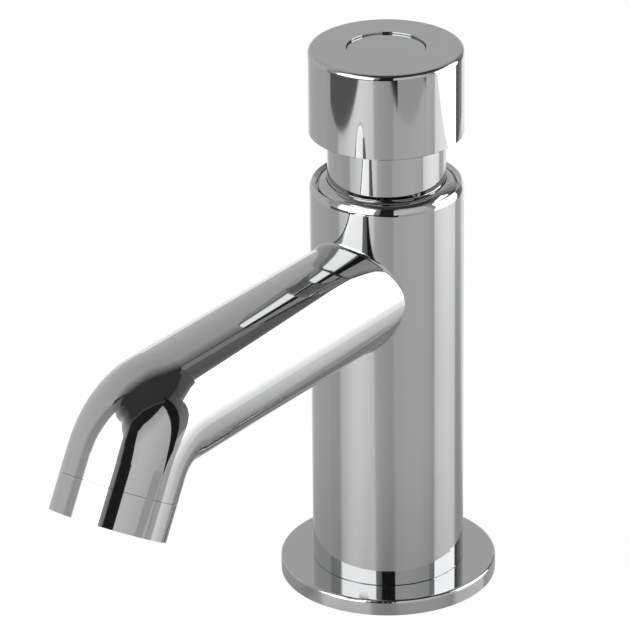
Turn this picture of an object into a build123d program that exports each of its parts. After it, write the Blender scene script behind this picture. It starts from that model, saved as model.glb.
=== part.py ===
from build123d import *
import math
import os

# Self-closing basin tap. Pushing the button opens a valve under a seat in the
# body; a spring and a slowly refilling timing chamber close it again.
# The origin is on the body's axis at the deck, +Z is up and the spout points
# along -Y. Mating threads are drawn as plain cylinders with a small gap.

os.makedirs("parts", exist_ok=True)

# Driving dimensions, in millimetres
spindle_radius = 3.2
spout_radius = 15.7
spout_height = 90.0
spout_reach = 112.1
spout_tail = 17.3
nozzle_length = 10.2
cap_height = 24.1
push_travel = 8.0
pressed_gap = 7.4
flange_thickness = 4.5
tail_thread_radius = 10.4775
tail_bore_radius = 7.0
tail_length = 50.0
deck_space = 14.0

# The outlet leans out from the vertical by what is left of a right angle
spout_drop_angle = 60.0

# Clearances and the overrun of every cut
thread_gap = 0.1
running_gap = 0.05
ring_gap = 0.05
foot_gap = 0.4
stop_gap = 0.5
cut_overrun = 1.0

# Walls, lands and steps between the pieces round the tap's axis
seat_water_gap = 2.3
seat_wall = 2.2
cartridge_groove_wall = 1.2
cartridge_groove_depth = 1.1
cartridge_step = 3.5
cartridge_wall = 3.0
cartridge_water_gap = 3.5
bonnet_ledge = 2.1
rim_wall = 1.9
neck_step = 2.96
cap_overhang = 4.96
foot_step = 1.8
foot_wall = 2.2
chamber_ledge = 1.0
flange_overhang = 9.0

# Radii, worked outwards from the spindle through the cartridge to the body
seat_bore_radius = spindle_radius + seat_water_gap
seat_pocket_radius = seat_bore_radius + seat_wall
cartridge_groove_floor = seat_pocket_radius + cartridge_groove_wall
web_hole_radius = cartridge_groove_floor + cartridge_groove_depth
cartridge_radius = web_hole_radius + cartridge_step
piston_bore_radius = cartridge_radius - cartridge_wall
cartridge_room_radius = cartridge_radius + cartridge_water_gap
collar_bore_radius = cartridge_room_radius + bonnet_ledge
body_radius = collar_bore_radius + rim_wall
neck_radius = collar_bore_radius - neck_step
cap_radius = neck_radius + cap_overhang
spigot_radius = body_radius - foot_step
base_bore_radius = spigot_radius - foot_wall
chamber_radius = base_bore_radius - chamber_ledge
flange_radius = body_radius + flange_overhang

# Radii of the spout, worked inwards from its skin, and its bend
spout_wall = 3.7
nozzle_wall = 1.8
bend_inner_radius = 1.7
port_radius = 9.5
waterway_radius = spout_radius - spout_wall
spout_spigot_radius = spout_radius - nozzle_wall
spout_bend_radius = spout_radius + bend_inner_radius

# Heights inside the cartridge, from the bonnet down to the web
ceiling_gap = 2.2
circlip_thickness = 0.8
piston_hub_height = 3.5
piston_disc_height = 3.5
spring_rest_length = 18.4
spring_seat_thickness = 1.6
window_roof = 1.5
window_height = 6.0
window_sill = 0.5
cartridge_floor = 2.0

# Heights of the body and of what its mouth holds
web_thickness = 8.0
port_land = 2.5
tail_head_height = 11.6
bonnet_thickness = 3.0
guide_engagement = 3.7

# Heights inside the outlet nozzle, from its mouth up
nozzle_lip_height = 1.7
aerator_height = 2.9
aerator_washer_thickness = 1.0

# Levels up the tap's axis
body_foot = foot_gap
chamber_floor = body_foot + tail_head_height
bonnet_seat = spout_height + port_radius + port_land
bonnet_top = bonnet_seat + bonnet_thickness
circlip_top = bonnet_seat - ceiling_gap
circlip_bottom = circlip_top - circlip_thickness
piston_shoulder = circlip_bottom - piston_hub_height
piston_bottom = piston_shoulder - piston_disc_height
spring_seat_top = piston_bottom - spring_rest_length
spring_ledge = spring_seat_top - spring_seat_thickness
window_top = spring_ledge - window_roof
window_bottom = window_top - window_height
room_floor = window_bottom - window_sill
web_top = room_floor - cartridge_floor
web_bottom = web_top - web_thickness
sleeve_bottom = bonnet_top + push_travel + stop_gap
body_top = sleeve_bottom + guide_engagement
cap_bottom = body_top + push_travel + pressed_gap
cap_top = cap_bottom + cap_height

# Outlet: its centre, its axis pointing back up the spout, and a section plane
# whose local X is a radius and whose local Y is the height above the outlet
drop = math.radians(spout_drop_angle)
outlet_up = Vector(0, math.cos(drop), math.sin(drop))
spout_corner = Vector(0, -spout_reach, spout_height)
corner_to_tip = spout_bend_radius * math.tan(drop / 2) + spout_tail
outlet_tip = spout_corner - outlet_up * corner_to_tip
outlet_axis = Axis(outlet_tip, outlet_up)
outlet_side = Vector(1, 0, 0)
outlet_section = Plane(origin=outlet_tip, x_dir=outlet_side, z_dir=outlet_side.cross(outlet_up))


def outline(*points, plane=Plane.XZ):
    """Closed flat outline through points of (radius, height)."""
    with BuildSketch(plane) as flat:
        with BuildLine():
            Polyline(*points, close=True)
        make_face()
    return flat.sketch


def gland(wall_radius, floor_radius):
    """Middle radius and wire radius of a ring seal between a wall and its groove."""
    middle = (wall_radius + floor_radius) / 2
    wire = abs(wall_radius - floor_radius) / 2 - ring_gap
    return middle, wire


def outlet_plane(height):
    """Plane across the outlet, a height above its tip, facing up the spout."""
    return Plane(origin=outlet_tip + outlet_up * height, x_dir=outlet_side, z_dir=outlet_up)


# Body casting with its spout. The mouth's crest stands a little over its gap line
rim_rise = 1.8
rim_round = 3.0
mouth_flare = 1.6
crest_round = 0.2
junction_round = 0.8
foot_edge = 0.2
foot_groove_depth = 1.2
foot_groove_bottom = 1.5
port_length = body_radius + junction_round
rim_top = body_top + rim_rise
foot_groove_floor = spigot_radius - foot_groove_depth
foot_groove_top = foot_groove_bottom + foot_groove_depth
spigot_end = nozzle_lip_height + aerator_height + aerator_washer_thickness

with BuildPart() as tap_body:
    revolve(
        outline(
            (0, body_foot),
            (spigot_radius, body_foot),
            (spigot_radius, foot_groove_bottom),
            (foot_groove_floor, foot_groove_bottom),
            (foot_groove_floor, foot_groove_top),
            (spigot_radius, foot_groove_top),
            (spigot_radius, flange_thickness),
            (body_radius - foot_edge, flange_thickness),
            (body_radius, flange_thickness + foot_edge),
            (body_radius, rim_top),
            (0, rim_top),
        ),
        axis=Axis.Z,
    )
    with BuildLine() as spout_line:
        FilletPolyline(
            (0, 0, spout_height),
            spout_corner,
            outlet_tip + outlet_up * nozzle_length,
            radius=spout_bend_radius,
        )
    with BuildSketch(Plane(origin=(0, 0, spout_height), x_dir=(1, 0, 0), z_dir=(0, -1, 0))):
        Circle(spout_radius)
    sweep(path=spout_line.wire())
    junction = tap_body.edges().filter_by(
        lambda edge: edge.geom_type not in (GeomType.LINE, GeomType.CIRCLE)
    )
    fillet(junction, junction_round)
    rim = tap_body.edges().filter_by(GeomType.CIRCLE).group_by(Axis.Z)[-1]
    fillet(rim, rim_round)
    revolve(
        outline(
            (0, nozzle_length + cut_overrun),
            (spout_spigot_radius, nozzle_length + cut_overrun),
            (spout_spigot_radius, spigot_end),
            (0, spigot_end),
            plane=outlet_section,
        ),
        axis=outlet_axis,
    )
    revolve(
        outline(
            (0, body_foot - cut_overrun),
            (base_bore_radius, body_foot - cut_overrun),
            (base_bore_radius, chamber_floor),
            (chamber_radius, chamber_floor),
            (chamber_radius, web_bottom),
            (web_hole_radius, web_bottom),
            (web_hole_radius, web_top),
            (cartridge_room_radius, web_top),
            (cartridge_room_radius, bonnet_seat),
            (collar_bore_radius, bonnet_seat),
            (collar_bore_radius, body_top),
            (body_radius, body_top + mouth_flare),
            (body_radius, rim_top + cut_overrun),
            (0, rim_top + cut_overrun),
        ),
        axis=Axis.Z,
        mode=Mode.SUBTRACT,
    )
    crest = tap_body.edges().filter_by(GeomType.CIRCLE).group_by(Axis.Z)[-1]
    fillet(crest, crest_round)
    with BuildSketch(Plane(origin=(0, 0, spout_height), x_dir=(1, 0, 0), z_dir=(0, -1, 0))):
        Circle(port_radius)
    extrude(amount=port_length + cut_overrun, mode=Mode.SUBTRACT)
    with BuildLine() as water_line:
        FilletPolyline(
            (0, -port_length, spout_height),
            spout_corner,
            outlet_tip + outlet_up * (spigot_end - cut_overrun),
            radius=spout_bend_radius,
        )
    with BuildSketch(Plane(origin=(0, -port_length, spout_height), x_dir=(1, 0, 0), z_dir=(0, -1, 0))):
        Circle(waterway_radius)
    sweep(path=water_line.wire(), mode=Mode.SUBTRACT)
tap_body.part.label = "tap_body"
export_step(tap_body.part, "parts/tap_body.step")

# Round base flange that the body stands on
flange_round = 0.8
seal_inner_land = 3.2
seal_outer_land = 3.0
seal_recess = 1.5
flange_bore_radius = spigot_radius + thread_gap
seal_inner_radius = flange_bore_radius + seal_inner_land
seal_outer_radius = flange_radius - seal_outer_land

with BuildPart() as base_flange:
    revolve(
        outline(
            (flange_bore_radius, 0),
            (seal_inner_radius, 0),
            (seal_inner_radius, seal_recess),
            (seal_outer_radius, seal_recess),
            (seal_outer_radius, 0),
            (flange_radius, 0),
            (flange_radius, flange_thickness),
            (flange_bore_radius, flange_thickness),
        ),
        axis=Axis.Z,
    )
    top_edge = base_flange.edges().group_by(Axis.Z)[-1].sort_by(SortBy.RADIUS)[-1]
    fillet(top_edge, flange_round)
base_flange.part.label = "base_flange"
export_step(base_flange.part, "parts/base_flange.step")

# Flat rubber seal pressed into the flange's underside
with BuildPart() as deck_seal:
    revolve(
        outline(
            (seal_inner_radius + ring_gap, 0),
            (seal_outer_radius - ring_gap, 0),
            (seal_outer_radius - ring_gap, seal_recess),
            (seal_inner_radius + ring_gap, seal_recess),
        ),
        axis=Axis.Z,
    )
deck_seal.part.label = "deck_seal"
export_step(deck_seal.part, "parts/deck_seal.step")

# Ring seal between the body's foot and the flange
foot_ring = gland(flange_bore_radius, foot_groove_floor)
with BuildPart() as flange_oring:
    with Locations((0, 0, (foot_groove_bottom + foot_groove_top) / 2)):
        Torus(*foot_ring)
flange_oring.part.label = "flange_oring"
export_step(flange_oring.part, "parts/flange_oring.step")

# Threaded tail: its head screws into the body and closes the pressure chamber
tail_chamfer = 1.0
tail_groove_depth = 1.4
tail_groove_top_land = 2.0
strainer_seat_step = 1.4
strainer_seat_depth = 1.5
relief_depth = 0.7
relief_width = 2.0
relief_below_nut = 1.0
deck_washer_thickness = 3.0
clamp_washer_thickness = 1.5
nut_height = 9.0
tail_head_radius = base_bore_radius - thread_gap
tail_groove_floor = base_bore_radius - tail_groove_depth
tail_groove_top = chamber_floor - tail_groove_top_land
tail_groove_bottom = tail_groove_top - tail_groove_depth
strainer_seat_radius = tail_bore_radius + strainer_seat_step
deck_washer_bottom = -deck_space - deck_washer_thickness
clamp_washer_bottom = deck_washer_bottom - clamp_washer_thickness
nut_bottom = clamp_washer_bottom - nut_height
relief_top = nut_bottom - relief_below_nut
relief_bottom = relief_top - relief_width

with BuildPart() as threaded_tail:
    revolve(
        outline(
            (tail_bore_radius, -tail_length),
            (tail_thread_radius - tail_chamfer, -tail_length),
            (tail_thread_radius, -tail_length + tail_chamfer),
            (tail_thread_radius, relief_bottom),
            (tail_thread_radius - relief_depth, relief_bottom),
            (tail_thread_radius - relief_depth, relief_top),
            (tail_thread_radius, relief_top),
            (tail_thread_radius, body_foot),
            (tail_head_radius, body_foot),
            (tail_head_radius, tail_groove_bottom),
            (tail_groove_floor, tail_groove_bottom),
            (tail_groove_floor, tail_groove_top),
            (tail_head_radius, tail_groove_top),
            (tail_head_radius, chamber_floor),
            (strainer_seat_radius, chamber_floor),
            (strainer_seat_radius, chamber_floor - strainer_seat_depth),
            (tail_bore_radius, chamber_floor - strainer_seat_depth),
        ),
        axis=Axis.Z,
    )
threaded_tail.part.label = "threaded_tail"
export_step(threaded_tail.part, "parts/threaded_tail.step")

# Ring seal round the tail's head
tail_ring = gland(base_bore_radius, tail_groove_floor)
with BuildPart() as tail_oring:
    with Locations((0, 0, (tail_groove_bottom + tail_groove_top) / 2)):
        Torus(*tail_ring)
tail_oring.part.label = "tail_oring"
export_step(tail_oring.part, "parts/tail_oring.step")

# Inlet strainer: a slotted basket standing on a rim in the tail's head
strainer_side_gap = 1.2
strainer_wall = 0.7
strainer_height = 15.0
strainer_slot_width = 1.2
strainer_slot_height = 9.5
strainer_slot_count = 10
strainer_radius = tail_bore_radius - strainer_side_gap
strainer_bottom = chamber_floor - strainer_seat_depth
strainer_top = chamber_floor + strainer_height
strainer_slot_middle = (chamber_floor + strainer_top - strainer_wall) / 2

with BuildPart() as inlet_strainer:
    revolve(
        outline(
            (strainer_radius - strainer_wall, strainer_bottom),
            (strainer_seat_radius - ring_gap, strainer_bottom),
            (strainer_seat_radius - ring_gap, chamber_floor),
            (strainer_radius, chamber_floor),
            (strainer_radius, strainer_top),
            (0, strainer_top),
            (0, strainer_top - strainer_wall),
            (strainer_radius - strainer_wall, strainer_top - strainer_wall),
        ),
        axis=Axis.Z,
    )
    with Locations((0, 0, strainer_slot_middle)):
        with PolarLocations(strainer_radius, strainer_slot_count):
            Box(strainer_radius, strainer_slot_width, strainer_slot_height, mode=Mode.SUBTRACT)
inlet_strainer.part.label = "inlet_strainer"
export_step(inlet_strainer.part, "parts/inlet_strainer.step")

# Rubber washer, metal washer and back nut that clamp the tap to its deck
washer_play = 0.35
washer_width = 8.2
nut_wall = 4.5
nut_edge_chamfer = 0.6
nut_flat_radius = tail_thread_radius + nut_wall
washer_bore_radius = tail_thread_radius + washer_play
washer_radius = washer_bore_radius + washer_width

with BuildPart() as deck_washer:
    with BuildSketch(Plane.XY.offset(deck_washer_bottom)):
        Circle(washer_radius)
        Circle(washer_bore_radius, mode=Mode.SUBTRACT)
    extrude(amount=deck_washer_thickness)
deck_washer.part.label = "deck_washer"
export_step(deck_washer.part, "parts/deck_washer.step")

with BuildPart() as clamp_washer:
    with BuildSketch(Plane.XY.offset(clamp_washer_bottom)):
        Circle(washer_radius)
        Circle(washer_bore_radius, mode=Mode.SUBTRACT)
    extrude(amount=clamp_washer_thickness)
clamp_washer.part.label = "clamp_washer"
export_step(clamp_washer.part, "parts/clamp_washer.step")

with BuildPart() as back_nut:
    with BuildSketch(Plane.XY.offset(nut_bottom)):
        RegularPolygon(nut_flat_radius, side_count=6, major_radius=False)
        Circle(tail_thread_radius + thread_gap, mode=Mode.SUBTRACT)
    extrude(amount=nut_height)
    bore_rims = back_nut.edges().filter_by(GeomType.CIRCLE)
    chamfer(bore_rims, nut_edge_chamfer)
back_nut.part.label = "back_nut"
export_step(back_nut.part, "parts/back_nut.step")

# Cartridge body: the piston's cylinder, with water windows near its foot
spring_ledge_width = 2.0
seat_bore_relief = 0.5
cartridge_spigot_length = 5.0
cartridge_groove_drop = 1.2
seat_pocket_depth = 3.0
window_width = 5.0
window_count = 6
window_room_radius = piston_bore_radius - spring_ledge_width
cartridge_hole_radius = seat_bore_radius + seat_bore_relief
cartridge_spigot_radius = web_hole_radius - thread_gap
spigot_bottom = web_top - cartridge_spigot_length
cartridge_groove_top = web_top - cartridge_groove_drop
cartridge_groove_bottom = cartridge_groove_top - cartridge_groove_depth

with BuildPart() as cartridge_body:
    revolve(
        outline(
            (seat_pocket_radius, spigot_bottom),
            (cartridge_spigot_radius, spigot_bottom),
            (cartridge_spigot_radius, cartridge_groove_bottom),
            (cartridge_groove_floor, cartridge_groove_bottom),
            (cartridge_groove_floor, cartridge_groove_top),
            (cartridge_spigot_radius, cartridge_groove_top),
            (cartridge_spigot_radius, web_top),
            (cartridge_radius, web_top),
            (cartridge_radius, bonnet_seat),
            (piston_bore_radius, bonnet_seat),
            (piston_bore_radius, spring_ledge),
            (window_room_radius, spring_ledge),
            (window_room_radius, room_floor),
            (cartridge_hole_radius, room_floor),
            (cartridge_hole_radius, spigot_bottom + seat_pocket_depth),
            (seat_pocket_radius, spigot_bottom + seat_pocket_depth),
        ),
        axis=Axis.Z,
    )
    with Locations((0, 0, (window_bottom + window_top) / 2)):
        with PolarLocations(cartridge_radius, window_count):
            Box(cartridge_radius, window_width, window_height, mode=Mode.SUBTRACT)
cartridge_body.part.label = "cartridge_body"
export_step(cartridge_body.part, "parts/cartridge_body.step")

# Ring seal between the cartridge and the body's web
cartridge_ring = gland(web_hole_radius, cartridge_groove_floor)
with BuildPart() as cartridge_oring:
    with Locations((0, 0, (cartridge_groove_bottom + cartridge_groove_top) / 2)):
        Torus(*cartridge_ring)
cartridge_oring.part.label = "cartridge_oring"
export_step(cartridge_oring.part, "parts/cartridge_oring.step")

# Valve seat pressed into the cartridge's foot, with a raised nose underneath
seat_nose_width = 0.9
seat_nose_height = 1.0
seat_nose = spigot_bottom - seat_nose_height

with BuildPart() as valve_seat:
    revolve(
        outline(
            (seat_bore_radius, seat_nose),
            (seat_bore_radius + seat_nose_width, seat_nose),
            (seat_bore_radius + seat_nose_width, spigot_bottom),
            (seat_pocket_radius - ring_gap, spigot_bottom),
            (seat_pocket_radius - ring_gap, spigot_bottom + seat_pocket_depth),
            (seat_bore_radius, spigot_bottom + seat_pocket_depth),
        ),
        axis=Axis.Z,
    )
valve_seat.part.label = "valve_seat"
export_step(valve_seat.part, "parts/valve_seat.step")

# Levels of the valve, worked down from the seat's nose
valve_disc_thickness = 2.5
valve_plate_thickness = 3.0
valve_rim_height = 1.5
valve_nut_height = 3.2
spindle_end_length = 1.0
valve_disc_bottom = seat_nose - valve_disc_thickness
valve_plate_bottom = valve_disc_bottom - valve_plate_thickness
valve_nut_bottom = valve_plate_bottom - valve_nut_height
spindle_bottom = valve_nut_bottom - spindle_end_length

# Levels of the button's head, worked down from the top of the cap
disc_recess = 0.5
disc_thickness = 1.2
screw_pocket_depth = 3.8
end_play = 0.3
journal_height = 12.6
shoulder_height = 2.0
disc_floor = cap_top - disc_recess - disc_thickness
boss_floor = disc_floor - screw_pocket_depth
journal_top = boss_floor + end_play
shoulder_top = journal_top - journal_height
shoulder_bottom = shoulder_top - shoulder_height

# Spindle from the valve to the button
spindle_thread_step = 0.7
journal_step = 1.0
shoulder_width = 1.3
circlip_groove_depth = 0.6
screw_hole_wall = 2.2
screw_hole_depth = 9.0
spindle_chamfer = 0.4
spindle_thread_radius = spindle_radius - spindle_thread_step
journal_radius = spindle_radius + journal_step
shoulder_radius = journal_radius + shoulder_width
circlip_groove_floor = spindle_radius - circlip_groove_depth
screw_hole_radius = journal_radius - screw_hole_wall

with BuildPart() as spindle:
    revolve(
        outline(
            (0, spindle_bottom),
            (spindle_thread_radius - spindle_chamfer, spindle_bottom),
            (spindle_thread_radius, spindle_bottom + spindle_chamfer),
            (spindle_thread_radius, seat_nose),
            (spindle_radius, seat_nose),
            (spindle_radius, circlip_bottom),
            (circlip_groove_floor, circlip_bottom),
            (circlip_groove_floor, circlip_top),
            (spindle_radius, circlip_top),
            (spindle_radius, shoulder_bottom),
            (shoulder_radius, shoulder_bottom),
            (shoulder_radius, shoulder_top),
            (journal_radius, shoulder_top),
            (journal_radius, journal_top),
            (screw_hole_radius, journal_top),
            (screw_hole_radius, journal_top - screw_hole_depth),
            (0, journal_top - screw_hole_depth),
        ),
        axis=Axis.Z,
    )
spindle.part.label = "spindle"
export_step(spindle.part, "parts/spindle.step")

# Rubber valve disc, the holder it lies in and the nut that keeps both on
valve_disc_overlap = 0.6
valve_rim_gap = 0.1
valve_rim_wall = 0.8
valve_nut_flats = 9.0
valve_disc_radius = seat_bore_radius + seat_nose_width + valve_disc_overlap

with BuildPart() as valve_disc:
    with BuildSketch(Plane.XY.offset(valve_disc_bottom)):
        Circle(valve_disc_radius)
        Circle(spindle_thread_radius + ring_gap, mode=Mode.SUBTRACT)
    extrude(amount=valve_disc_thickness)
valve_disc.part.label = "valve_disc"
export_step(valve_disc.part, "parts/valve_disc.step")

valve_rim_inner = valve_disc_radius + valve_rim_gap
valve_rim_outer = valve_rim_inner + valve_rim_wall
with BuildPart() as valve_holder:
    revolve(
        outline(
            (spindle_thread_radius + ring_gap, valve_plate_bottom),
            (valve_rim_outer, valve_plate_bottom),
            (valve_rim_outer, valve_disc_bottom + valve_rim_height),
            (valve_rim_inner, valve_disc_bottom + valve_rim_height),
            (valve_rim_inner, valve_disc_bottom),
            (spindle_thread_radius + ring_gap, valve_disc_bottom),
        ),
        axis=Axis.Z,
    )
valve_holder.part.label = "valve_holder"
export_step(valve_holder.part, "parts/valve_holder.step")

with BuildPart() as valve_nut:
    with BuildSketch(Plane.XY.offset(valve_nut_bottom)):
        RegularPolygon(valve_nut_flats / 2, side_count=6, major_radius=False)
        Circle(spindle_thread_radius + ring_gap, mode=Mode.SUBTRACT)
    extrude(amount=valve_nut_height)
valve_nut.part.label = "valve_nut"
export_step(valve_nut.part, "parts/valve_nut.step")

# Timing piston with a hub for its seal and a bleed hole through the hub
piston_gap = 0.2
piston_hub_wall = 3.0
bleed_radius = 0.6
bleed_inset = 1.1
piston_hub_radius = spindle_radius + piston_hub_wall
bleed_place_radius = piston_hub_radius - bleed_inset

with BuildPart() as timing_piston:
    revolve(
        outline(
            (spindle_radius + ring_gap, piston_bottom),
            (piston_bore_radius - piston_gap, piston_bottom),
            (piston_bore_radius - piston_gap, piston_shoulder),
            (piston_hub_radius, piston_shoulder),
            (piston_hub_radius, circlip_bottom),
            (spindle_radius + ring_gap, circlip_bottom),
        ),
        axis=Axis.Z,
    )
    with BuildSketch(Plane.XY.offset(piston_bottom)):
        with Locations((bleed_place_radius, 0)):
            Circle(bleed_radius)
    extrude(amount=circlip_bottom - piston_bottom, mode=Mode.SUBTRACT)
timing_piston.part.label = "timing_piston"
export_step(timing_piston.part, "parts/timing_piston.step")

# Lip seal: water enters the timing chamber past its lip but can't leave there
lip_base_height = 1.4
lip_gap = 0.08
lip_heel_gap = 0.4
lip_thickness = 1.2
lip_height = 3.2
inner_lip_thickness = 1.0
inner_lip_height = 2.9
lip_heel_radius = piston_bore_radius - lip_heel_gap
lip_root_radius = piston_bore_radius - lip_thickness
heel_inner_radius = piston_hub_radius + inner_lip_thickness

with BuildPart() as lip_seal:
    revolve(
        outline(
            (piston_hub_radius + ring_gap, piston_shoulder),
            (lip_heel_radius, piston_shoulder),
            (piston_bore_radius - lip_gap, piston_shoulder + lip_height),
            (lip_root_radius, piston_shoulder + lip_base_height),
            (heel_inner_radius, piston_shoulder + lip_base_height),
            (piston_hub_radius + ring_gap, piston_shoulder + inner_lip_height),
        ),
        axis=Axis.Z,
    )
lip_seal.part.label = "lip_seal"
export_step(lip_seal.part, "parts/lip_seal.step")

# Circlip that keeps the piston on the spindle, open on the side away from the bleed
circlip_width = 1.7
circlip_opening = 3.0
circlip_radius = circlip_groove_floor + circlip_width

with BuildPart() as piston_circlip:
    with BuildSketch(Plane.XY.offset(circlip_bottom)):
        Circle(circlip_radius)
        Circle(circlip_groove_floor + ring_gap, mode=Mode.SUBTRACT)
        with Locations((-circlip_radius, 0)):
            Rectangle(circlip_radius * 2, circlip_opening, mode=Mode.SUBTRACT)
    extrude(amount=circlip_thickness)
piston_circlip.part.label = "piston_circlip"
export_step(piston_circlip.part, "parts/piston_circlip.step")

# Metering pin in the bleed hole, hanging from its small head
pin_radius = 0.5
pin_head_radius = 0.75
pin_head_height = 0.5

with BuildPart() as metering_pin:
    with BuildSketch(Plane.XY.offset(piston_bottom)):
        with Locations((bleed_place_radius, 0)):
            Circle(pin_radius)
    extrude(amount=circlip_bottom - piston_bottom)
    with BuildSketch(Plane.XY.offset(circlip_bottom)):
        with Locations((bleed_place_radius, 0)):
            Circle(pin_head_radius)
    extrude(amount=pin_head_height)
metering_pin.part.label = "metering_pin"
export_step(metering_pin.part, "parts/metering_pin.step")

# Spring seat on the ledge inside the cartridge
spring_seat_play = 1.8
spring_seat_lip = 0.8
spring_side_gap = 1.5
spring_wire_radius = 0.7
spring_radius = piston_bore_radius - spring_side_gap - spring_wire_radius
spring_seat_bore_radius = spindle_radius + spring_seat_play
spring_lip_radius = spring_radius - spring_wire_radius - running_gap
spring_seat_radius = piston_bore_radius - thread_gap

with BuildPart() as spring_seat:
    revolve(
        outline(
            (spring_seat_bore_radius, spring_ledge),
            (spring_seat_radius, spring_ledge),
            (spring_seat_radius, spring_seat_top),
            (spring_lip_radius, spring_seat_top),
            (spring_lip_radius, spring_seat_top + spring_seat_lip),
            (spring_seat_bore_radius, spring_seat_top + spring_seat_lip),
        ),
        axis=Axis.Z,
    )
spring_seat.part.label = "spring_seat"
export_step(spring_seat.part, "parts/spring_seat.step")

# Return spring: one closed turn at each end and open turns between them
spring_end_turns = 1
spring_open_turns = 3.5
spring_end_gap = 0.5
spring_seat_gap = 0.05
quarters_in_turn = 4
spring_end_pitch = 2 * spring_wire_radius + spring_end_gap
spring_rise = spring_rest_length - 2 * spring_wire_radius - 2 * spring_seat_gap
spring_open_pitch = (spring_rise - 2 * spring_end_turns * spring_end_pitch) / spring_open_turns
end_quarters = spring_end_turns * quarters_in_turn
open_quarters = round(spring_open_turns * quarters_in_turn)
pitches = [spring_end_pitch] * end_quarters
pitches += [spring_open_pitch] * open_quarters
pitches += [spring_end_pitch] * end_quarters


def spring_joint(index):
    """Point and direction of the wire's centre at a quarter turn."""
    angle = index * math.tau / quarters_in_turn
    level = spring_seat_top + spring_seat_gap + spring_wire_radius
    level += sum(pitches[:index]) / quarters_in_turn
    beside = pitches[max(index - 1, 0) : index + 1]
    climb = sum(beside) / len(beside) / math.tau
    place = Vector(spring_radius * math.cos(angle), spring_radius * math.sin(angle), level)
    along = Vector(-spring_radius * math.sin(angle), spring_radius * math.cos(angle), climb)
    return place, along.normalized()


def biarc_joint(start, start_along, end, end_along):
    """Point where two arcs meet that run smoothly from one joint to the next."""
    span = end - start
    both = span.dot(start_along + end_along)
    spread = 2 * (1 - start_along.dot(end_along))
    reach = (-both + math.sqrt(both * both + spread * span.dot(span))) / spread
    return (start + end + (start_along - end_along) * reach) / 2


wire_points = []
with BuildPart() as return_spring:
    with BuildLine() as wire_line:
        for quarter in range(len(pitches)):
            start, start_along = spring_joint(quarter)
            end, end_along = spring_joint(quarter + 1)
            middle = biarc_joint(start, start_along, end, end_along)
            first_arc = TangentArc(start, middle, tangent=start_along)
            second_arc = TangentArc(middle, end, tangent=first_arc % 1)
            for arc in (first_arc, second_arc):
                wire_points += [arc @ 0, arc @ 0.5]
    spring_start, spring_along = spring_joint(0)
    with BuildSketch(Plane(origin=spring_start, z_dir=spring_along)):
        Circle(spring_wire_radius)
    sweep(path=wire_line.wire())
return_spring.part.label = "return_spring"
export_step(return_spring.part, "parts/return_spring.step")

points_in_half_turn = len(wire_points) // len(pitches) * quarters_in_turn // 2
least_gap = min(
    (other - place).length - 2 * spring_wire_radius
    for index, place in enumerate(wire_points)
    for other in wire_points[index + points_in_half_turn :]
)
print(f"return_spring least gap to itself {least_gap:.3f} mm")

# Bonnet: closes the cartridge and guides the spindle through a neck
bonnet_skirt_gap = 0.1
bonnet_skirt_wall = 1.9
bonnet_skirt_length = 8.0
bonnet_groove_depth = 1.3
bonnet_groove_drop = 0.7
bonnet_neck_wall = 1.7
bonnet_neck_height = 6.0
spindle_groove_depth = 1.65
spindle_groove_lift = 1.0
spindle_groove_spacing = 4.6
bonnet_radius = collar_bore_radius - thread_gap
bonnet_bore_radius = spindle_radius + running_gap
skirt_inner_radius = cartridge_radius + bonnet_skirt_gap
skirt_outer_radius = skirt_inner_radius + bonnet_skirt_wall
bonnet_groove_floor = collar_bore_radius - bonnet_groove_depth
bonnet_groove_top = bonnet_top - bonnet_groove_drop
bonnet_groove_bottom = bonnet_groove_top - bonnet_groove_depth
neck_top = bonnet_top + bonnet_neck_height
spindle_groove_floor = bonnet_bore_radius + spindle_groove_depth
bonnet_neck_radius = spindle_groove_floor + bonnet_neck_wall
lower_groove = bonnet_seat + spindle_groove_lift
upper_groove = lower_groove + spindle_groove_spacing

with BuildPart() as cartridge_bonnet:
    revolve(
        outline(
            (bonnet_bore_radius, bonnet_seat),
            (skirt_inner_radius, bonnet_seat),
            (skirt_inner_radius, bonnet_seat - bonnet_skirt_length),
            (skirt_outer_radius, bonnet_seat - bonnet_skirt_length),
            (skirt_outer_radius, bonnet_seat),
            (bonnet_radius, bonnet_seat),
            (bonnet_radius, bonnet_groove_bottom),
            (bonnet_groove_floor, bonnet_groove_bottom),
            (bonnet_groove_floor, bonnet_groove_top),
            (bonnet_radius, bonnet_groove_top),
            (bonnet_radius, bonnet_top),
            (bonnet_neck_radius, bonnet_top),
            (bonnet_neck_radius, neck_top),
            (bonnet_bore_radius, neck_top),
            (bonnet_bore_radius, upper_groove + spindle_groove_depth),
            (spindle_groove_floor, upper_groove + spindle_groove_depth),
            (spindle_groove_floor, upper_groove),
            (bonnet_bore_radius, upper_groove),
            (bonnet_bore_radius, lower_groove + spindle_groove_depth),
            (spindle_groove_floor, lower_groove + spindle_groove_depth),
            (spindle_groove_floor, lower_groove),
            (bonnet_bore_radius, lower_groove),
        ),
        axis=Axis.Z,
    )
cartridge_bonnet.part.label = "cartridge_bonnet"
export_step(cartridge_bonnet.part, "parts/cartridge_bonnet.step")

# Ring seals of the bonnet: one round its rim and two round the spindle
bonnet_ring = gland(collar_bore_radius, bonnet_groove_floor)
with BuildPart() as bonnet_oring:
    with Locations((0, 0, (bonnet_groove_bottom + bonnet_groove_top) / 2)):
        Torus(*bonnet_ring)
bonnet_oring.part.label = "bonnet_oring"
export_step(bonnet_oring.part, "parts/bonnet_oring.step")

spindle_ring = gland(spindle_radius, spindle_groove_floor)
with BuildPart() as spindle_orings:
    for groove in (lower_groove, upper_groove):
        with Locations((0, 0, groove + spindle_groove_depth / 2)):
            Torus(*spindle_ring)
spindle_orings.part.label = "spindle_orings"
export_step(spindle_orings.part, "parts/spindle_orings.step")

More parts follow.
